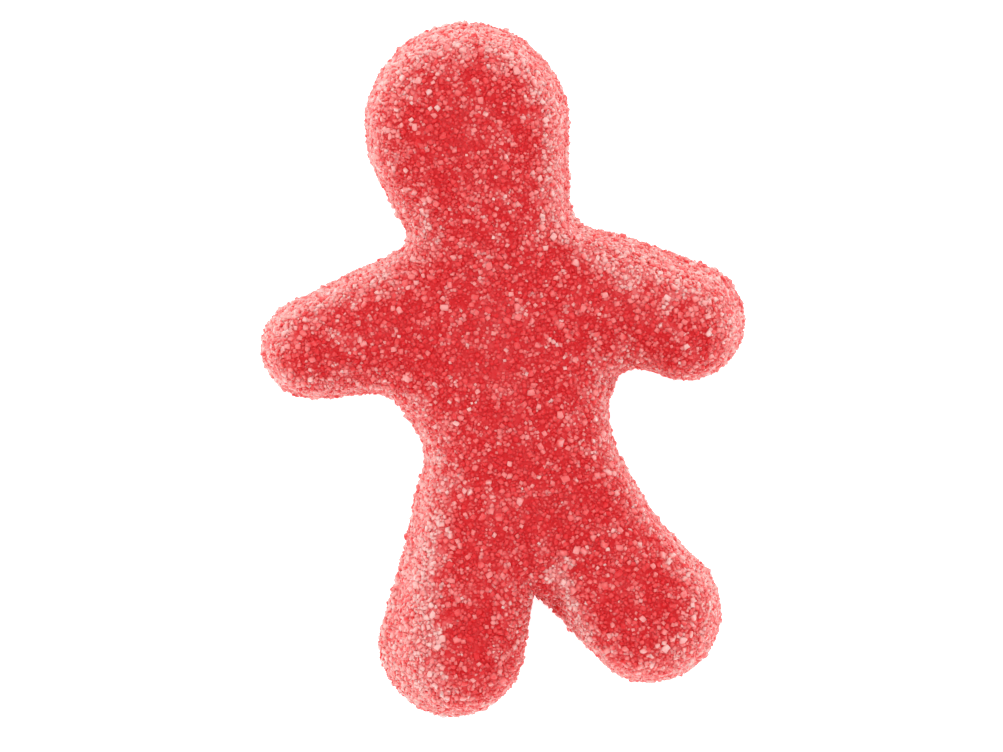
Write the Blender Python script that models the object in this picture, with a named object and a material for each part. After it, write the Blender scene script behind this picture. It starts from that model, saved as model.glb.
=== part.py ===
"""A sugared jelly sweet: a plain, faceless little figure with a round head, two arms and two legs.

It is one solid, lying on its flat back with its front up. It was cast face down in an open mould, so
its walls lean in from a wide back outline to a smaller front outline, turn over a rounded shoulder and
end in a gently bulging front. The head points along +Y, the front faces +Z, and the origin is on the
table, under the middle of the back. The coarse sugar on it is relief: small bumps all over, and the
largest crystals as cut grains half sunk in the jelly. It lies on five crystals of its back, one under
the outer end of each limb.

Sizes are in millimetres until a mesh is made, which is in metres.
"""

import math
import random

import bmesh
import bpy
import numpy as np
from mathutils import Euler, Matrix, Vector

MM = 0.001

# The two outlines. Each limb is a flat bar with round ends: two discs, each x, y and radius.
BACK = {
    "head": ((-0.2, 14.0, 6.0), (0.4, 6.8, 4.2)),
    "torso": ((-0.5, 0.9, 6.6), (0.9, -7.4, 4.1)),
    "left_arm": ((-1.1, 3.6, 4.8), (-11.1, 2.5, 3.0)),
    "right_arm": ((6.6, 3.3, 3.3), (10.7, 0.8, 3.5)),
    "left_leg": ((-3.1, -9.0, 3.8), (-5.6, -15.8, 4.3)),
    "right_leg": ((2.6, -10.7, 4.1), (6.2, -15.8, 4.1)),
}
FRONT = {
    "head": ((-0.5, 13.2, 4.5), (0.1, 6.9, 2.5)),
    "torso": ((-0.2, 0.8, 5.1), (0.6, -9.5, 2.6)),
    "left_arm": ((0.9, 3.4, 4.0), (-10.8, 2.2, 1.7)),
    "right_arm": ((5.2, 2.5, 1.8), (10.1, -0.2, 1.9)),
    "left_leg": ((-2.4, -9.3, 2.6), (-4.4, -16.8, 2.2)),
    "right_leg": ((2.3, -7.0, 2.3), (5.6, -15.5, 3.0)),
}
# How far from each corner its fillet starts.
BACK_FILLETS = {
    "neck": 0.3,
    "left_hip": 3.5,
    "right_hip": 3.7,
    "crotch": 0.1,
    "left_armpit": 1.4,
    "right_armpit": 3.6,
}
FRONT_FILLETS = {
    "neck": 0.3,
    "left_hip": 3.9,
    "right_hip": 1.5,
    "crotch": 0.5,
    "left_armpit": 3.1,
    "right_armpit": 3.4,
}

# Heights above the table at which the front meets the shoulder, over each limb.
LIMB_HEIGHTS = {
    "head": 9.9,
    "torso": 10.1,
    "left_arm": 8.9,
    "right_arm": 9.1,
    "left_leg": 9.5,
    "right_leg": 9.6,
}
HEIGHT_BLEND = 2.2
BULGE = 1.4
BULGE_REACH = 3.4

# The walls rise straight up past the rounded edge of the back, then lean in up to their full height.
WALL_LEAN = 0.62
WALL_HEIGHT = 9.6
SHOULDER = 2.7
BACK_EDGE = 1.5

# The flat back lies this far above the table, on one crystal under the outer end of each of these limbs.
BACK_LIFT = 0.1
RESTING_ENDS = {"head": 0, "left_arm": 1, "right_arm": 1, "left_leg": 1, "right_leg": 1}

# The crease where the right leg meets the belly, from the crotch to the hip.
CREASE_START = (1.3, -12.6)
CREASE_END = (6.4, -8.9)
CREASE_DEPTH = 0.28
CREASE_WIDTH = 0.7

# The sugar. Its crystals stand proud of the jelly, so the jelly is smaller than the outlines.
# The lattice that the surface is drawn on sets how wide the bumps are.
SUGAR_PROUD = 0.16
LATTICE = 0.86
FLAT_WITHIN = 0.001
BUMP = 0.17
CRYSTAL_COUNT = 130
CRYSTAL_SPACING = 2.6
CRYSTAL_SIDE = (0.46, 0.66)
CRYSTAL_PROPORTIONS = (1.0, 0.86, 0.7)
CRYSTAL_CORNER_SHIFT = 0.09
CRYSTAL_LIFT = 0.16
LOWEST_CRYSTAL = 1.0
CORNER_DOWN = (math.radians(45), math.atan(math.sqrt(0.5)))
SEED = 7

JELLY_RED = (0.68, 0.028, 0.035, 1.0)
JELLY_ROUGHNESS = 0.45
JELLY_SCATTER = 0.4
JELLY_SCATTER_REACH = (2.0, 0.4, 0.3)
SHARP_ANGLE = math.radians(40)


def bar(x, y, ends):
    """Signed distance from a flat bar with round ends, negative inside it."""
    (ax, ay, first_radius), (bx, by, last_radius) = ends
    length = math.hypot(bx - ax, by - ay)
    ux, uy = (bx - ax) / length, (by - ay) / length
    along = (x - ax) * ux + (y - ay) * uy
    across = np.abs((x - ax) * uy - (y - ay) * ux)
    taper = (first_radius - last_radius) / length
    upright = math.sqrt(1 - taper * taper)
    place = along * upright - across * taper
    flank = across * upright + along * taper - first_radius
    first_cap = np.hypot(across, along) - first_radius
    last_cap = np.hypot(across, along - length) - last_radius
    return np.where(place < 0, first_cap, np.where(place > upright * length, last_cap, flank))


def merge(one, other, fillet):
    """Signed distance from two shapes together, with their inner corner filled."""
    share = np.clip(0.5 + 0.5 * (other - one) / fillet, 0, 1)
    return other * (1 - share) + one * share - fillet * share * (1 - share)


def overlap(one, other, rounding):
    """Signed distance from what two shapes share, with the outer corner rounded off."""
    return -merge(-one, -other, rounding)


def figure(x, y, limbs, fillets):
    """Signed distance from the figure's outline, made of its six limbs."""
    limb = {name: bar(x, y, ends) for name, ends in limbs.items()}
    trunk = merge(limb["head"], limb["torso"], fillets["neck"])
    left_side = merge(trunk, limb["left_leg"], fillets["left_hip"])
    right_side = merge(trunk, limb["right_leg"], fillets["right_hip"])
    legged = merge(left_side, right_side, fillets["crotch"])
    one_armed = merge(legged, limb["left_arm"], fillets["left_armpit"])
    return merge(one_armed, limb["right_arm"], fillets["right_armpit"])


def shoulder_height(x, y):
    """Height of the front's edge, blended from the limbs near this place."""
    total, weights = 0, 0
    for name, height in LIMB_HEIGHTS.items():
        weight = np.exp(-np.maximum(bar(x, y, FRONT[name]), -HEIGHT_BLEND) / HEIGHT_BLEND)
        total = total + weight * height
        weights = weights + weight
    return total / weights


def crease(x, y):
    """Depth of the fold between the belly and the right leg, which fades out at both ends."""
    start, end = np.array(CREASE_START), np.array(CREASE_END)
    run = end - start
    length = np.hypot(*run)
    along = ((x - start[0]) * run[0] + (y - start[1]) * run[1]) / length
    across = ((x - start[0]) * run[1] - (y - start[1]) * run[0]) / length
    fade = np.exp(-(((along - length / 2) / (length / 2)) ** 4))
    return CREASE_DEPTH * fade * np.exp(-((across / CREASE_WIDTH) ** 2))


def jelly(x, y, z):
    """Signed distance from the jelly itself, negative inside it."""
    back_outline = figure(x, y, BACK, BACK_FILLETS)
    front_outline = figure(x, y, FRONT, FRONT_FILLETS)
    lean = WALL_LEAN * np.clip((z - BACK_EDGE) / (WALL_HEIGHT - BACK_EDGE), 0, 1)
    wall = back_outline + (front_outline - back_outline) * lean
    inside = np.maximum(-front_outline, 0) / BULGE_REACH
    bulge = BULGE * inside**2 / (1 + inside**2)
    front = z - (shoulder_height(x, y) + bulge - crease(x, y))
    body = overlap(wall, front, SHOULDER) + SUGAR_PROUD
    return overlap(body, BACK_LIFT - z, BACK_EDGE)


def lattice(step):
    """The points of a square lattice round the figure: its three coordinate arrays."""
    reach = {"x": (-15.0, 15.0), "y": (-21.0, 21.0), "z": (-step, 13.0)}
    lines = [np.arange(low, high + step, step) for low, high in reach.values()]
    return np.meshgrid(*lines, indexing="ij")


def net_over(values):
    """Points and quads of the closed surface where values on a lattice change sign.

    Each lattice cell that the surface crosses gets one point, the mean of the crossings of its edges.
    Each lattice edge that the surface crosses gets one quad, which joins the four cells round it.
    """
    cells = tuple(n - 1 for n in values.shape)
    total = np.zeros((*cells, 3))
    hits = np.zeros(cells)
    crossings = []
    for axis in range(3):
        turned = np.moveaxis(values, axis, 0)
        low, high = turned[:-1], turned[1:]
        crossed = (low < 0) != (high < 0)
        place = np.where(crossed, low / np.where(crossed, low - high, 1), 0)
        crossings.append(crossed)
        others = [n for n in range(3) if n != axis]
        for first in (0, 1):
            for second in (0, 1):
                rows = slice(first, first + cells[others[0]])
                columns = slice(second, second + cells[others[1]])
                hit = np.moveaxis(crossed[:, rows, columns], 0, axis)
                total[..., axis] += np.moveaxis(place[:, rows, columns], 0, axis)
                total[..., others[0]] += hit * first
                total[..., others[1]] += hit * second
                hits += hit
    used = hits > 0
    number = np.full(cells, -1)
    number[used] = np.arange(used.sum())
    points = np.argwhere(used) + total[used] / hits[used][:, None]
    quads = []
    for axis, crossed in enumerate(crossings):
        cell = np.moveaxis(number, axis, 0)
        i, j, k = np.nonzero(crossed[:, 1:-1, 1:-1])
        around = [cell[i, j, k], cell[i, j + 1, k], cell[i, j + 1, k + 1], cell[i, j, k + 1]]
        quads.append(np.stack(around, axis=1))
    return points, np.concatenate(quads)


def flatten_back(mesh_work):
    """Makes the flat back one face."""
    level = BACK_LIFT * MM
    flat = [f for f in mesh_work.faces if all(abs(v.co.z - level) < FLAT_WITHIN * MM for v in f.verts)]
    for face in flat:
        for vertex in face.verts:
            vertex.co.z = level
    bmesh.ops.dissolve_faces(mesh_work, faces=flat, use_verts=True)


def roughen(mesh_work, draw):
    """Moves every point off the back in or out, as the bumps of a coat of fine sugar."""
    moves = [
        (v, v.normal * draw.uniform(-BUMP, BUMP) * MM)
        for v in mesh_work.verts
        if v.co.z > 2 * BUMP * MM
    ]
    for vertex, move in moves:
        vertex.co += move


def make_body(draw):
    """The jelly with its bumps, as an object."""
    x, y, z = lattice(LATTICE)
    points, quads = net_over(jelly(x, y, z))
    corner = np.array([x.min(), y.min(), z.min()])
    mesh = bpy.data.meshes.new("sugared_figure")
    mesh.from_pydata(((points * LATTICE + corner) * MM).tolist(), [], quads.tolist())
    mesh_work = bmesh.new()
    mesh_work.from_mesh(mesh)
    bmesh.ops.recalc_face_normals(mesh_work, faces=mesh_work.faces)
    flatten_back(mesh_work)
    mesh_work.normal_update()
    roughen(mesh_work, draw)
    mesh_work.to_mesh(mesh)
    mesh_work.free()
    body = bpy.data.objects.new("sugared_figure", mesh)
    bpy.context.scene.collection.objects.link(body)
    return body


def crystal_places(body, draw):
    """Points of the front and walls, with their normals, spread evenly at random."""
    candidates = [v for v in body.data.vertices if v.co.z > LOWEST_CRYSTAL * MM]
    draw.shuffle(candidates)
    chosen = []
    for vertex in candidates:
        if all((vertex.co - other.co).length > CRYSTAL_SPACING * MM for other in chosen):
            chosen.append(vertex)
        if len(chosen) == CRYSTAL_COUNT:
            break
    return [(v.co.copy(), v.normal.copy()) for v in chosen]


def crystal_mesh(name, draw):
    """One sugar crystal: a small skewed block with flat faces."""
    side = draw.uniform(*CRYSTAL_SIDE)
    size = Vector(CRYSTAL_PROPORTIONS) * side * MM
    mesh_work = bmesh.new()
    bmesh.ops.create_cube(mesh_work, size=1)
    for vertex in mesh_work.verts:
        vertex.co *= size
        vertex.co += Vector([draw.uniform(-1, 1) for _ in range(3)]) * CRYSTAL_CORNER_SHIFT * side * MM
    bmesh.ops.triangulate(mesh_work, faces=mesh_work.faces)
    mesh = bpy.data.meshes.new(name)
    mesh_work.to_mesh(mesh)
    mesh_work.free()
    return mesh


def add_crystal(collection, name, place, turn, draw):
    """Puts one crystal in the collection, and returns it."""
    crystal = bpy.data.objects.new(name, crystal_mesh(name, draw))
    crystal.matrix_world = Matrix.Translation(place) @ turn.to_matrix().to_4x4()
    collection.objects.link(crystal)
    return crystal


def make_crystals(body, draw):
    """A collection of the largest crystals, half sunk in the body's surface."""
    collection = bpy.data.collections.new("crystals")
    bpy.context.scene.collection.children.link(collection)
    for number, (place, normal) in enumerate(crystal_places(body, draw)):
        turn = Euler([draw.uniform(0, math.tau) for _ in range(3)])
        add_crystal(collection, f"crystal_{number:03d}", place + normal * CRYSTAL_LIFT * MM, turn, draw)
    return collection


def add_resting_crystals(collection, draw):
    """Adds the crystals that the sweet lies on, each with one corner down on the table."""
    for limb, end in RESTING_ENDS.items():
        x, y, _ = BACK[limb][end]
        turn = Euler((*CORNER_DOWN, draw.uniform(0, math.tau)))
        crystal = add_crystal(collection, f"resting_{limb}", Vector((x, y, 0)) * MM, turn, draw)
        corners = [crystal.matrix_world @ vertex.co for vertex in crystal.data.vertices]
        crystal.matrix_world.translation.z = -min(corner.z for corner in corners)


def keep_largest_shell(mesh):
    """Fills the pockets and drops the scraps that the joining leaves, as shells of their own."""
    mesh_work = bmesh.new()
    mesh_work.from_mesh(mesh)
    unseen = set(mesh_work.verts)
    shells = []
    while unseen:
        shell = set()
        edge_of_shell = [unseen.pop()]
        while edge_of_shell:
            vertex = edge_of_shell.pop()
            shell.add(vertex)
            neighbours = {e.other_vert(vertex) for e in vertex.link_edges} & unseen
            unseen -= neighbours
            edge_of_shell.extend(neighbours)
        shells.append(shell)
    shells.sort(key=len)
    for shell in shells[:-1]:
        bmesh.ops.delete(mesh_work, geom=list(shell), context="VERTS")
    mesh_work.to_mesh(mesh)
    mesh_work.free()


def fuse(body, collection):
    """Joins the collection's pieces to the body as one solid, and removes the pieces."""
    union = body.modifiers.new("fuse_crystals", "BOOLEAN")
    union.operation = "UNION"
    union.operand_type = "COLLECTION"
    union.collection = collection
    union.solver = "MANIFOLD"
    graph = bpy.context.evaluated_depsgraph_get()
    joined = bpy.data.meshes.new_from_object(body.evaluated_get(graph))
    body.modifiers.clear()
    keep_largest_shell(joined)
    body.data = joined
    for piece in list(collection.objects):
        bpy.data.objects.remove(piece)
    bpy.data.collections.remove(collection)


def jelly_material():
    """Translucent red jelly under its sugar."""
    material = bpy.data.materials.new("sugared_jelly")
    material.use_nodes = True
    shader = material.node_tree.nodes["Principled BSDF"]
    shader.inputs["Base Color"].default_value = JELLY_RED
    shader.inputs["Roughness"].default_value = JELLY_ROUGHNESS
    shader.inputs["Metallic"].default_value = 0.0
    shader.inputs["Subsurface Weight"].default_value = JELLY_SCATTER
    shader.inputs["Subsurface Radius"].default_value = JELLY_SCATTER_REACH
    shader.inputs["Subsurface Scale"].default_value = MM
    material.diffuse_color = JELLY_RED
    return material


def main():
    for thing in list(bpy.data.objects):
        bpy.data.objects.remove(thing)
    draw = random.Random(SEED)
    body = make_body(draw)
    crystals = make_crystals(body, draw)
    add_resting_crystals(crystals, draw)
    fuse(body, crystals)
    body.data.materials.clear()
    body.data.materials.append(jelly_material())
    body.data.shade_smooth()
    body.data.set_sharp_from_angle(angle=SHARP_ANGLE)


main()
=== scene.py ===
"""Dresses the sugared jelly figure: the red jelly itself, and the grains of sugar that coat it.

The jelly is drawn again on a finer lattice, from the same outlines and heights as its solid. The sugar
is four kinds of grain, one mesh each. The grains are half sunk in the jelly. Light and shade are painted
into
how pale they and the jelly are: the walls paler, for the sheen of sugar seen edge-on, walls facing the
light paler still, the feet of the grains redder, and streaks of painted highlight and shade. Sizes are in
millimetres until a mesh is made, which is in metres.
"""

import math

import bmesh
import bpy
import numpy as np
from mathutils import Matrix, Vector, noise


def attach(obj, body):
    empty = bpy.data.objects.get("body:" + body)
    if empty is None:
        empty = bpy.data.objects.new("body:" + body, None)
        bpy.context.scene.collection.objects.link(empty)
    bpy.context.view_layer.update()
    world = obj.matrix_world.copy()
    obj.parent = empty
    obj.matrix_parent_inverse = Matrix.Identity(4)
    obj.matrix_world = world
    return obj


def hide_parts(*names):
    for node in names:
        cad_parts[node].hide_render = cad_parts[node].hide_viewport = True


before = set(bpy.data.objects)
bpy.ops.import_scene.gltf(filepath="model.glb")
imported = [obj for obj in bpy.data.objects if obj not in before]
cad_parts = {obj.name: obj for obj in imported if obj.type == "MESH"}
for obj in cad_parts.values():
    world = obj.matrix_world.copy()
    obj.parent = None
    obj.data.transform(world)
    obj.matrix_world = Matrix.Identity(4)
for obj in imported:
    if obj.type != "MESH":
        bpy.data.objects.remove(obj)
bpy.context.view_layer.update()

MM = 0.001
NODE = "sugared_figure"
BODY = "root"

# The two outlines. Each limb is a flat bar with round ends: two discs, each x, y and radius.
BACK = {
    "head": ((-0.2, 14.0, 6.0), (0.4, 6.8, 4.2)),
    "torso": ((-0.5, 0.9, 6.6), (0.9, -7.4, 4.1)),
    "left_arm": ((-1.1, 3.6, 4.8), (-11.1, 2.5, 3.0)),
    "right_arm": ((6.6, 3.3, 3.3), (10.7, 0.8, 3.5)),
    "left_leg": ((-3.1, -9.0, 3.8), (-5.6, -15.8, 4.3)),
    "right_leg": ((2.6, -10.7, 4.1), (6.2, -15.8, 4.1)),
}
FRONT = {
    "head": ((-0.5, 13.2, 4.5), (0.1, 6.9, 2.5)),
    "torso": ((-0.2, 0.8, 5.1), (0.6, -9.5, 2.6)),
    "left_arm": ((0.9, 3.4, 4.0), (-10.8, 2.2, 1.7)),
    "right_arm": ((5.2, 2.5, 1.8), (10.1, -0.2, 1.9)),
    "left_leg": ((-2.4, -9.3, 2.6), (-4.4, -16.8, 2.2)),
    "right_leg": ((2.3, -7.0, 2.3), (5.6, -15.5, 3.0)),
}
# How far from each corner its fillet starts.
BACK_FILLETS = {
    "neck": 0.3,
    "left_hip": 3.5,
    "right_hip": 3.7,
    "crotch": 0.1,
    "left_armpit": 1.4,
    "right_armpit": 3.6,
}
FRONT_FILLETS = {
    "neck": 0.3,
    "left_hip": 3.9,
    "right_hip": 1.5,
    "crotch": 0.5,
    "left_armpit": 3.1,
    "right_armpit": 3.4,
}

# Heights above the table at which the front meets the shoulder, over each limb.
LIMB_HEIGHTS = {
    "head": 9.9,
    "torso": 10.1,
    "left_arm": 8.9,
    "right_arm": 9.1,
    "left_leg": 9.5,
    "right_leg": 9.6,
}
HEIGHT_BLEND = 2.2
BULGE = 1.4
BULGE_REACH = 3.4

# The walls rise straight up past the rounded edge of the back, then lean in up to their full height.
WALL_LEAN = 0.62
WALL_HEIGHT = 9.6
SHOULDER = 2.7
BACK_EDGE = 1.5

# The flat back lies this far above the table, on the sugar under it.
BACK_LIFT = 0.1

# The crease where the right leg meets the belly, from the crotch to the hip.
CREASE_START = (1.3, -12.6)
CREASE_END = (6.4, -8.9)
CREASE_DEPTH = 0.28
CREASE_WIDTH = 0.7

# The jelly's surface lies this far inside the outlines, because its sugar stands proud of it.
SUGAR_PROUD = 0.16

# The lattice that the jelly is drawn on: its step, and how far it reaches round the figure.
LATTICE = 0.24
LATTICE_REACH_X = (-15.0, 15.0)
LATTICE_REACH_Y = (-21.0, 21.0)
LATTICE_TOP = 13.0

# The jelly's own unevenness, as wave lengths and depths. It grows to its full depth over this height above
# the back, and points this near to the back stay flat in it.
RIPPLES = ((2.6, 0.07), (0.9, 0.035), (0.35, 0.03))
RIPPLE_RISE = 1.0
FLAT_WITHIN = 0.001

# The grains of sugar, largest first. For each kind: the range of sizes, the number of grains, how often a
# corner is cut off, and the paleness that is added.
GRAINS = {
    "sugar_coarse": ((0.32, 0.42), 700, 0.8, 0.14),
    "sugar_medium": ((0.24, 0.32), 7000, 0.4, 0.04),
    "sugar_fine": ((0.17, 0.24), 16500, 0.0, 0.0),
    "sugar_dust": ((0.11, 0.17), 16500, 0.0, 0.0),
}

# Each kind has this many shapes of grain. A shape is a block of these proportions, with its corners out of
# place by up to this share of its size. A corner that is cut off takes this share of its edges with it.
# Faces that meet at more than this angle have a sharp edge between them.
SHAPES_PER_KIND = 24
GRAIN_PROPORTIONS = (1.0, 0.85, 0.72)
CORNER_SHIFT = 0.12
CORNER_CUT = 0.3
GRAIN_SHARP_ANGLE = math.radians(100)

# How far a grain's middle is above the jelly, as a share of its size. The reddest lie lowest, and the
# palest highest.
RED_GRAIN_LIFT = -0.10
PALE_GRAIN_LIFT = 0.22

# How much the grains lean at random: on level places, and on upright walls.
GRAIN_TILT = 0.30
WALL_GRAIN_TILT = 1.1

# The middles of two grains are at least this share of their mean size apart. This many places are tried
# for each grain of a kind, until it has its number.
GRAIN_CLEARANCE = 0.72
TRIES_PER_GRAIN = 3
SEED = 11

# How pale the grains are. Each has a paleness of its own, from a beta distribution of these two shape
# numbers, and this share of them are frosty, and paler by this much.
OWN_PALENESS = (1.2, 5.4)
FROSTY_SHARE = 0.08
FROSTY_PALENESS = 0.35

# Painted light: the walls are painted paler than the front, for the sheen of sugar seen edge-on. This
# grows over a band round the front's outline, given as distances outside it. The drifts are wave lengths
# and amounts.
PAINTED_WALL_SHEEN = 0.55
WALL_PALE_FROM = -1.1
WALL_PALE_TO = 0.9
DRIFTS = ((0.45, 0.38), (0.9, 0.34), (2.6, 0.14))

# Painted light and shade: the walls that face this way, towards the light, are painted paler, and those
# that face the other way are painted darker.
PAINTED_LIGHT_WAY = (-0.55, 0.84, 0.0)
SIDED_PAINTED_LIGHT = 0.11

# A grain is redder at its foot, where it is sunk in the jelly; this is also painted shade, the red shade
# that falls between grains. Each of its corners differs a little.
SHADED_FOOT_PALENESS = 0.25
CORNER_PALENESS = 0.05

# Streaks of paleness, partly painted light. One with a positive amount is a ridge of piled sugar, made
# paler as a painted highlight where its crest catches the light; one with a negative amount is painted
# shade, on walls on the far side from the light and down in the crotch. For each: where it starts and
# ends, its width and its amount.
STREAKS = {
    "beside_head": ((4.9, 15.6), (3.8, 8.7), 0.45, 0.16),
    "along_right_arm": ((4.0, 6.9), (8.3, 2.4), 0.50, 0.22),
    "towards_right_hand": ((8.3, 2.4), (9.9, 0.4), 0.60, 0.14),
    "over_crotch": ((0.46, -12.63), (1.66, -12.0), 0.30, 0.50),
    "below_crotch": ((1.33, -13.03), (1.66, -14.36), 0.26, 0.48),
    "inner_right_leg": ((1.66, -14.36), (2.49, -16.6), 0.28, 0.42),
    "shaded_crotch_wall": ((0.2, -13.3), (1.0, -14.7), 0.45, -0.55),
    "crease": ((1.3, -12.6), (6.4, -8.9), 0.50, 0.10),
    "right_foot": ((9.4, -13.5), (9.1, -16.7), 0.60, 0.12),
    "top_of_head_wall": ((2.8, 19.3), (5.3, 17.0), 0.50, -0.10),
    "head_wall": ((5.3, 17.0), (5.8, 14.0), 0.50, -0.12),
    "neck_wall": ((5.8, 14.0), (4.9, 8.4), 0.50, -0.12),
    "right_arm_wall": ((7.4, 6.5), (12.3, 3.9), 0.60, -0.12),
    "left_hip": ((-4.5, -7.8), (-6.2, -10.8), 0.60, 0.10),
    "left_leg": ((-6.2, -10.8), (-7.5, -15.3), 0.60, 0.12),
}
# The streaks lie above this height. A thick one is also a ridge, this high for each unit of its amount.
STREAKS_ABOVE = 0.5
STREAK_RELIEF = 0.5

# How pale each point of a mesh is, from 0 to 1, is kept under this name; it holds painted light and shade
# as well as the sugar's own tone. From the reddest to the palest, the jelly and the sugar have these
# colours.
PALENESS = "pale"
JELLY_COLOURS = (
    (0.0, (0.70, 0.013, 0.018)),
    (0.25, (0.80, 0.050, 0.055)),
    (0.6, (0.90, 0.19, 0.19)),
    (1.0, (0.95, 0.42, 0.40)),
)
SUGAR_COLOURS = (
    (0.0, (0.76, 0.024, 0.031)),
    (0.25, (0.84, 0.084, 0.088)),
    (0.6, (0.93, 0.28, 0.27)),
    (1.0, (0.99, 0.56, 0.53)),
)

# Small flaws in the jelly and in the grains: their length and depth, then how much paler they are and how
# strongly they are felt in each.
FLAW_LENGTH = 0.22
FLAW_DEPTH = 0.03
FLAW_DETAIL = 3
JELLY_FLAWS = (0.6, 0.9)
SUGAR_FLAWS = (0.28, 0.12)

# The finishes. Light goes deep into the jelly, and not far into the sugar.
JELLY_FINISH = {
    "Roughness": 0.35,
    "Specular IOR Level": 0.15,
    "Subsurface Weight": 0.35,
    "Subsurface Radius": (1.0, 0.3, 0.25),
    "Subsurface Scale": MM,
}
SUGAR_FINISH = {
    "Roughness": 0.25,
    "Specular IOR Level": 0.25,
    "Subsurface Weight": 0.7,
    "Subsurface Radius": (0.12, 0.06, 0.05),
    "Subsurface Scale": MM,
}
WHITE = (1.0, 1.0, 1.0, 1.0)
FLOOR_FINISH = {
    "Base Color": (0.93, 0.93, 0.93, 1.0),
    "Roughness": 0.9,
    "Specular IOR Level": 0.1,
    "Emission Color": WHITE,
    "Emission Strength": 0.74,
}

# The floor reaches this far on each side. Light comes from all round, and from a lamp overhead.
FLOOR_REACH = 1500.0
SURROUND_STRENGTH = 0.89
LAMP_PLACE = (-25.0, 80.0, 500.0)
LAMP_SIZE = 220.0
LAMP_POWER = 0.65

# The view is from straight above, turned by this angle, so that the head leans to the left. Its width is
# that at the height of the outline, and its far limit is in metres.
VIEW_TURN = math.radians(8.6)
VIEW_CENTRE = (-0.41, -0.80)
VIEW_WIDTH = 58.66
OUTLINE_HEIGHT = 1.5
CAMERA_DISTANCE = 500.0
SENSOR = 36.0
VIEW_LIMIT = 10.0


def bar(x, y, ends):
    """Signed distance from a flat bar with round ends, negative inside it."""
    (ax, ay, first_radius), (bx, by, last_radius) = ends
    length = math.hypot(bx - ax, by - ay)
    ux, uy = (bx - ax) / length, (by - ay) / length
    along = (x - ax) * ux + (y - ay) * uy
    across = np.abs((x - ax) * uy - (y - ay) * ux)
    taper = (first_radius - last_radius) / length
    upright = math.sqrt(1 - taper * taper)
    place = along * upright - across * taper
    flank = across * upright + along * taper - first_radius
    first_cap = np.hypot(across, along) - first_radius
    last_cap = np.hypot(across, along - length) - last_radius
    return np.where(place < 0, first_cap, np.where(place > upright * length, last_cap, flank))


def merge(one, other, fillet):
    """Signed distance from two shapes together, with their inner corner filled."""
    share = np.clip(0.5 + 0.5 * (other - one) / fillet, 0, 1)
    return other * (1 - share) + one * share - fillet * share * (1 - share)


def overlap(one, other, rounding):
    """Signed distance from what two shapes share, with the outer corner rounded off."""
    return -merge(-one, -other, rounding)


def figure(x, y, limbs, fillets):
    """Signed distance from the figure's outline, made of its six limbs."""
    limb = {name: bar(x, y, ends) for name, ends in limbs.items()}
    trunk = merge(limb["head"], limb["torso"], fillets["neck"])
    left_side = merge(trunk, limb["left_leg"], fillets["left_hip"])
    right_side = merge(trunk, limb["right_leg"], fillets["right_hip"])
    legged = merge(left_side, right_side, fillets["crotch"])
    one_armed = merge(legged, limb["left_arm"], fillets["left_armpit"])
    return merge(one_armed, limb["right_arm"], fillets["right_armpit"])


def shoulder_height(x, y):
    """Height of the front's edge, blended from the limbs near this place."""
    total, weights = 0, 0
    for name, height in LIMB_HEIGHTS.items():
        weight = np.exp(-np.maximum(bar(x, y, FRONT[name]), -HEIGHT_BLEND) / HEIGHT_BLEND)
        total = total + weight * height
        weights = weights + weight
    return total / weights


def crease(x, y):
    """Depth of the fold between the belly and the right leg, which fades out at both ends."""
    start, end = np.array(CREASE_START), np.array(CREASE_END)
    run = end - start
    length = np.hypot(*run)
    along = ((x - start[0]) * run[0] + (y - start[1]) * run[1]) / length
    across = ((x - start[0]) * run[1] - (y - start[1]) * run[0]) / length
    fade = np.exp(-(((along - length / 2) / (length / 2)) ** 4))
    return CREASE_DEPTH * fade * np.exp(-((across / CREASE_WIDTH) ** 2))


def jelly(x, y, z):
    """Signed distance from the jelly itself, negative inside it."""
    flat_x, flat_y = x[:, :, :1], y[:, :, :1]
    back_outline = figure(flat_x, flat_y, BACK, BACK_FILLETS)
    front_outline = figure(flat_x, flat_y, FRONT, FRONT_FILLETS)
    lean = WALL_LEAN * np.clip((z - BACK_EDGE) / (WALL_HEIGHT - BACK_EDGE), 0, 1)
    wall = back_outline + (front_outline - back_outline) * lean
    inside = np.maximum(-front_outline, 0) / BULGE_REACH
    bulge = BULGE * inside**2 / (1 + inside**2)
    front = z - (shoulder_height(flat_x, flat_y) + bulge - crease(flat_x, flat_y))
    body = overlap(wall, front, SHOULDER) + SUGAR_PROUD
    return overlap(body, BACK_LIFT - z, BACK_EDGE)


def lattice(step):
    """The points of a square lattice round the figure: its three coordinate arrays."""
    reach = (LATTICE_REACH_X, LATTICE_REACH_Y, (-step, LATTICE_TOP))
    lines = [np.arange(low, high + step, step) for low, high in reach]
    return np.meshgrid(*lines, indexing="ij")


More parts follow.
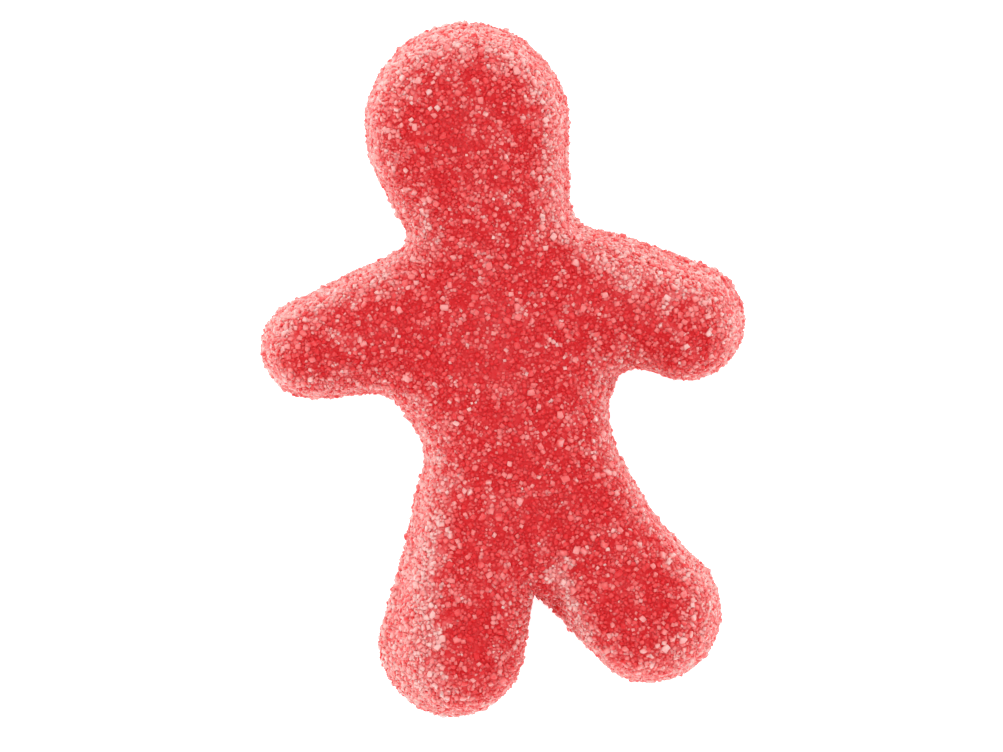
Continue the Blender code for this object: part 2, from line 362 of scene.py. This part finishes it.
def net_over(values):
    """Points and quads of the closed surface where values on a lattice change sign.

    Each lattice cell that the surface crosses gets one point, the mean of the crossings of its edges.
    Each lattice edge that the surface crosses gets one quad, which joins the four cells round it.
    """
    cells = tuple(n - 1 for n in values.shape)
    total = np.zeros((*cells, 3))
    hits = np.zeros(cells)
    crossings = []
    for axis in range(3):
        turned = np.moveaxis(values, axis, 0)
        low, high = turned[:-1], turned[1:]
        crossed = (low < 0) != (high < 0)
        place = np.where(crossed, low / np.where(crossed, low - high, 1), 0)
        crossings.append(crossed)
        others = [n for n in range(3) if n != axis]
        for first in (0, 1):
            for second in (0, 1):
                rows = slice(first, first + cells[others[0]])
                columns = slice(second, second + cells[others[1]])
                hit = np.moveaxis(crossed[:, rows, columns], 0, axis)
                total[..., axis] += np.moveaxis(place[:, rows, columns], 0, axis)
                total[..., others[0]] += hit * first
                total[..., others[1]] += hit * second
                hits += hit
    used = hits > 0
    number = np.full(cells, -1)
    number[used] = np.arange(used.sum())
    points = np.argwhere(used) + total[used] / hits[used][:, None]
    quads = []
    for axis, crossed in enumerate(crossings):
        cell = np.moveaxis(number, axis, 0)
        i, j, k = np.nonzero(crossed[:, 1:-1, 1:-1])
        around = [cell[i, j, k], cell[i, j + 1, k], cell[i, j + 1, k + 1], cell[i, j, k + 1]]
        quads.append(np.stack(around, axis=1))
    return points, np.concatenate(quads)


def new_object(name, data):
    """A new object in the scene, which shows this mesh, light or camera."""
    thing = bpy.data.objects.new(name, data)
    bpy.context.scene.collection.objects.link(thing)
    return thing


def dress(piece, material):
    """Gives the piece its material, and its place in the frame."""
    piece.data.materials.append(material)
    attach(piece, BODY)
    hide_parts(NODE)


def ripple(place):
    """How far the jelly's own unevenness stands out at this place."""
    return sum(depth * noise.noise(place / length) for length, depth in RIPPLES)


def set_paleness(mesh, pale):
    """Writes how pale each point of the mesh is."""
    mesh.attributes.new(PALENESS, "FLOAT", "POINT").data.foreach_set("value", pale)


def make_jelly():
    """The jelly under its sugar, as a fine mesh with a flat back."""
    x, y, z = lattice(LATTICE)
    points, quads = net_over(jelly(x, y, z))
    corner = np.array([x.min(), y.min(), z.min()])
    mesh = bpy.data.meshes.new("jelly")
    mesh.from_pydata(((points * LATTICE + corner) * MM).tolist(), [], quads.tolist())
    mesh_work = bmesh.new()
    mesh_work.from_mesh(mesh)
    bmesh.ops.recalc_face_normals(mesh_work, faces=mesh_work.faces)
    mesh_work.normal_update()
    places = np.array([vertex.co for vertex in mesh_work.verts]) / MM
    ridges = STREAK_RELIEF * np.maximum(streak_amounts(places), 0)
    moves = []
    for vertex, ridge in zip(mesh_work.verts, ridges):
        height = vertex.co.z / MM - BACK_LIFT
        if height > FLAT_WITHIN:
            rise = ridge + ripple(vertex.co / MM)
            moves.append((vertex, vertex.normal * rise * min(height / RIPPLE_RISE, 1) * MM))
    for vertex, move in moves:
        vertex.co += move
    mesh_work.to_mesh(mesh)
    mesh_work.free()
    mesh.shade_smooth()
    places = np.array([vertex.co for vertex in mesh.vertices]) / MM
    normals = np.array([vertex.normal for vertex in mesh.vertices])
    # The jelly's paleness, painted light and shade included.
    set_paleness(mesh, np.clip(paleness_with_painted_light(places, normals), 0, 1))
    return new_object("jelly", mesh)


def rows_of_three(items, field, number_type):
    """This field of all the items, as an array with a row of three numbers for each."""
    values = np.empty(len(items) * 3, number_type)
    items.foreach_get(field, values)
    return values.reshape(-1, 3)


def surface_samples(mesh, count, draw):
    """Points spread at random over the mesh, with their normals, in millimetres."""
    mesh.calc_loop_triangles()
    corners = rows_of_three(mesh.loop_triangles, "vertices", np.int32)
    places = rows_of_three(mesh.vertices, "co", np.float32) / MM
    normals = rows_of_three(mesh.vertices, "normal", np.float32)
    a, b, c = (places[corners[:, n]] for n in range(3))
    areas = np.linalg.norm(np.cross(b - a, c - a), axis=1)
    chosen = draw.choice(len(areas), count, p=areas / areas.sum())
    shares = draw.dirichlet((1, 1, 1), count)[..., None]
    place = (places[corners[chosen]] * shares).sum(axis=1)
    normal = (normals[corners[chosen]] * shares).sum(axis=1)
    return place, normal / np.linalg.norm(normal, axis=1, keepdims=True)


def place_grains(mesh, draw):
    """For each kind of grain: places, normals and sizes, with no two grains too close.

    The grains placed so far are kept by the cubic cell that they are in. A cell is as wide as the largest
    grain, so only those in the cells round a new grain can be too close to it.
    """
    cell = max(largest for (_, largest), _, _, _ in GRAINS.values())
    taken = {}
    placed = {}
    for kind, (sizes, wanted, _, _) in GRAINS.items():
        places, normals = surface_samples(mesh, wanted * TRIES_PER_GRAIN, draw)
        spans = draw.uniform(*sizes, len(places))
        keep = []
        for n, (place, size) in enumerate(zip(places.tolist(), spans.tolist())):
            key = tuple(int(v // cell) for v in place)
            near = (
                other
                for i in (-1, 0, 1)
                for j in (-1, 0, 1)
                for k in (-1, 0, 1)
                for other in taken.get((key[0] + i, key[1] + j, key[2] + k), ())
            )
            if all(math.dist(place, spot) > GRAIN_CLEARANCE * (size + span) / 2 for spot, span in near):
                taken.setdefault(key, []).append((place, size))
                keep.append(n)
            if len(keep) == wanted:
                break
        placed[kind] = (places[keep], normals[keep], spans[keep])
    return placed


def grain_shape(cut_share, draw):
    """Points and triangles of one grain: a skewed block of unit size, some of its corners cut off."""
    mesh_work = bmesh.new()
    sides = (-0.5, 0.5)
    for corner in np.array(np.meshgrid(sides, sides, sides)).reshape(3, -1).T:
        corner = corner + draw.uniform(-CORNER_SHIFT, CORNER_SHIFT, 3)
        if draw.uniform() < cut_share:
            ends = [corner * np.where(np.arange(3) == n, 1 - 2 * CORNER_CUT, 1) for n in range(3)]
        else:
            ends = [corner]
        for end in ends:
            mesh_work.verts.new(end * GRAIN_PROPORTIONS)
    bmesh.ops.convex_hull(mesh_work, input=mesh_work.verts)
    bmesh.ops.recalc_face_normals(mesh_work, faces=mesh_work.faces)
    mesh_work.verts.index_update()
    points = np.array([v.co for v in mesh_work.verts])
    triangles = np.array([[v.index for v in f.verts] for f in mesh_work.faces])
    mesh_work.free()
    return points, triangles


def lie_flat(normals, draw):
    """A rotation matrix for each grain, which lays it on the jelly at any turn, less flat on the walls."""
    steepness = 1 - np.clip(normals[:, 2:], 0, 1)
    tilt = GRAIN_TILT + (WALL_GRAIN_TILT - GRAIN_TILT) * steepness
    up = normals + tilt * draw.normal(size=normals.shape)
    up /= np.linalg.norm(up, axis=1, keepdims=True)
    side = np.cross(up, draw.normal(size=normals.shape))
    side /= np.linalg.norm(side, axis=1, keepdims=True)
    return np.stack([side, np.cross(up, side), up], axis=2)


def make_grains(kind, places, normals, sizes, draw):
    """All the grains of one kind, as one piece, with how pale each of their points is."""
    _, _, cut_share, added_paleness = GRAINS[kind]
    shapes = [grain_shape(cut_share, draw) for _ in range(SHAPES_PER_KIND)]
    own = draw.beta(*OWN_PALENESS, len(places))
    frosty = FROSTY_PALENESS * (draw.uniform(size=len(places)) < FROSTY_SHARE)
    # Each grain's paleness, painted light and shade included.
    pale = np.clip(added_paleness + own + frosty + paleness_with_painted_light(places, normals), 0, 1)
    lift = RED_GRAIN_LIFT + (PALE_GRAIN_LIFT - RED_GRAIN_LIFT) * pale
    centres = places + normals * (lift * sizes)[:, None]
    turns = lie_flat(normals, draw)
    which = draw.integers(SHAPES_PER_KIND, size=len(places))
    all_points, all_triangles, all_pale = [], [], []
    start = 0
    for number, (points, triangles) in enumerate(shapes):
        mine = which == number
        height = (points[:, 2] - points[:, 2].min()) / np.ptp(points[:, 2])
        # Painted shade: each grain is paler towards its top and redder towards its foot.
        foot_shade = SHADED_FOOT_PALENESS + (1 - SHADED_FOOT_PALENESS) * height
        corner_change = CORNER_PALENESS * draw.normal(size=(mine.sum(), len(points)))
        turned = np.einsum("nij,pj->npi", turns[mine], points) * sizes[mine][:, None, None]
        turned += centres[mine][:, None, :]
        steps = start + np.arange(mine.sum())[:, None, None] * len(points)
        all_points.append(turned.reshape(-1, 3))
        all_triangles.append((triangles[None] + steps).reshape(-1, 3))
        all_pale.append((pale[mine][:, None] * foot_shade + corner_change).ravel())
        start += mine.sum() * len(points)
    points = np.concatenate(all_points)
    points[:, 2] = np.maximum(points[:, 2], 0)
    mesh = bpy.data.meshes.new(kind)
    mesh.from_pydata((points * MM).tolist(), [], np.concatenate(all_triangles).tolist())
    set_paleness(mesh, np.concatenate(all_pale))
    mesh.shade_smooth()
    mesh.set_sharp_from_angle(angle=GRAIN_SHARP_ANGLE)
    return new_object(kind, mesh)


def streak(x, y, start, end, width, amount):
    """What one streak adds: its amount on the line from start to end, less beside it."""
    run_x, run_y = end[0] - start[0], end[1] - start[1]
    share = ((x - start[0]) * run_x + (y - start[1]) * run_y) / (run_x**2 + run_y**2)
    share = np.clip(share, 0, 1)
    away = np.hypot(x - start[0] - share * run_x, y - start[1] - share * run_y)
    return amount * np.exp(-((away / width) ** 2))


def streak_amounts(places):
    """How much the streaks on the front and its walls add at each place: piled sugar, painted highlight
    and painted shade.
    """
    x, y, z = places.T
    return sum(streak(x, y, *line) for line in STREAKS.values()) * (z > STREAKS_ABOVE)


def paleness_with_painted_light(places, normals):
    """How pale each place is: the sugar's drifts and streaks, with painted light that makes the walls
    paler, most of all those that face the light.
    """
    x, y = places[:, 0], places[:, 1]
    outside = figure(x, y, FRONT, FRONT_FILLETS)
    # Painted light: the band of paler sheen on the walls.
    wall = np.clip((outside - WALL_PALE_FROM) / (WALL_PALE_TO - WALL_PALE_FROM), 0, 1)
    drift = sum(
        amount * np.array([noise.noise(Vector(place) / length) for place in places])
        for length, amount in DRIFTS
    )
    # Painted light and shade, by which way each wall faces.
    painted_side_light = SIDED_PAINTED_LIGHT * wall * (normals @ PAINTED_LIGHT_WAY)
    return PAINTED_WALL_SHEEN * wall + painted_side_light + drift + streak_amounts(places)


def new_material(name, finish):
    """A new material with this finish, and its shader."""
    material = bpy.data.materials.new(name)
    material.use_nodes = True
    shader = material.node_tree.nodes["Principled BSDF"]
    for socket, value in finish.items():
        shader.inputs[socket].default_value = value
    return material, shader


def colour_steps(tree, steps):
    """A colour ramp with these places and colours."""
    ramp = tree.nodes.new("ShaderNodeValToRGB")
    elements = ramp.color_ramp.elements
    while len(elements) < len(steps):
        elements.new(steps[len(elements)][0])
    for element, (place, colour) in zip(elements, steps):
        element.position = place
        element.color = (*colour, 1)
    return ramp


def noise_pattern(tree, coordinates, length):
    """A noise pattern whose blobs are about this long, in millimetres."""
    pattern = tree.nodes.new("ShaderNodeTexNoise")
    pattern.inputs["Scale"].default_value = 1 / (length * MM)
    pattern.inputs["Detail"].default_value = FLAW_DETAIL
    tree.links.new(coordinates, pattern.inputs["Vector"])
    return pattern


def frosted_material(name, finish, steps, flaw_paleness, flaw_relief):
    """A material coloured by how pale its points are, with small flaws that are seen and felt."""
    material, shader = new_material(name, finish)
    tree = material.node_tree
    pale = tree.nodes.new("ShaderNodeAttribute")
    pale.attribute_name = PALENESS
    coordinates = tree.nodes.new("ShaderNodeTexCoord")
    flaws = noise_pattern(tree, coordinates.outputs["Object"], FLAW_LENGTH)
    flaw_share = tree.nodes.new("ShaderNodeMath")
    flaw_share.operation = "MULTIPLY_ADD"
    flaw_share.inputs[1].default_value = flaw_paleness
    flaw_share.inputs[2].default_value = -flaw_paleness / 2
    tree.links.new(flaws.outputs["Fac"], flaw_share.inputs[0])
    paleness = tree.nodes.new("ShaderNodeMath")
    tree.links.new(pale.outputs["Fac"], paleness.inputs[0])
    tree.links.new(flaw_share.outputs["Value"], paleness.inputs[1])
    ramp = colour_steps(tree, steps)
    tree.links.new(paleness.outputs["Value"], ramp.inputs["Fac"])
    tree.links.new(ramp.outputs["Color"], shader.inputs["Base Color"])
    bump = tree.nodes.new("ShaderNodeBump")
    bump.inputs["Strength"].default_value = flaw_relief
    bump.inputs["Distance"].default_value = FLAW_DEPTH * MM
    tree.links.new(flaws.outputs["Fac"], bump.inputs["Height"])
    tree.links.new(bump.outputs["Normal"], shader.inputs["Normal"])
    return material


def make_floor():
    """A plain white floor."""
    reach = FLOOR_REACH * MM
    corners = [(-reach, -reach, 0), (reach, -reach, 0), (reach, reach, 0), (-reach, reach, 0)]
    mesh = bpy.data.meshes.new("floor")
    mesh.from_pydata(corners, [], [(0, 1, 2, 3)])
    material, _ = new_material("white_floor", FLOOR_FINISH)
    mesh.materials.append(material)
    new_object("floor", mesh)


def make_lamp():
    """A soft square lamp overhead, which faces the sweet."""
    light = bpy.data.lights.new("key_light", "AREA")
    light.size = LAMP_SIZE * MM
    light.energy = LAMP_POWER
    lamp = new_object("key_light", light)
    lamp.location = Vector(LAMP_PLACE) * MM
    lamp.rotation_euler = (-lamp.location).to_track_quat("-Z", "Y").to_euler()


def make_surround():
    """White light from all round."""
    world = bpy.data.worlds.new("studio")
    world.use_nodes = True
    background = world.node_tree.nodes["Background"]
    background.inputs["Color"].default_value = WHITE
    background.inputs["Strength"].default_value = SURROUND_STRENGTH
    bpy.context.scene.world = world


def make_camera():
    """A camera straight above the sweet."""
    camera = bpy.data.cameras.new("camera")
    camera.sensor_width = SENSOR
    camera.lens = SENSOR * CAMERA_DISTANCE / VIEW_WIDTH
    camera.clip_end = VIEW_LIMIT
    above = new_object("camera", camera)
    above.location = Vector((*VIEW_CENTRE, OUTLINE_HEIGHT + CAMERA_DISTANCE)) * MM
    above.rotation_euler = (0, 0, -VIEW_TURN)
    bpy.context.scene.camera = above


draw = np.random.default_rng(SEED)
body = make_jelly()
dress(body, frosted_material("red_jelly", JELLY_FINISH, JELLY_COLOURS, *JELLY_FLAWS))
sugar = frosted_material("sugar", SUGAR_FINISH, SUGAR_COLOURS, *SUGAR_FLAWS)
for kind, (places, normals, sizes) in place_grains(body.data, draw).items():
    dress(make_grains(kind, places, normals, sizes, draw), sugar)
make_floor()
make_surround()
make_lamp()
make_camera()
bpy.context.scene.view_settings.view_transform = "Standard"
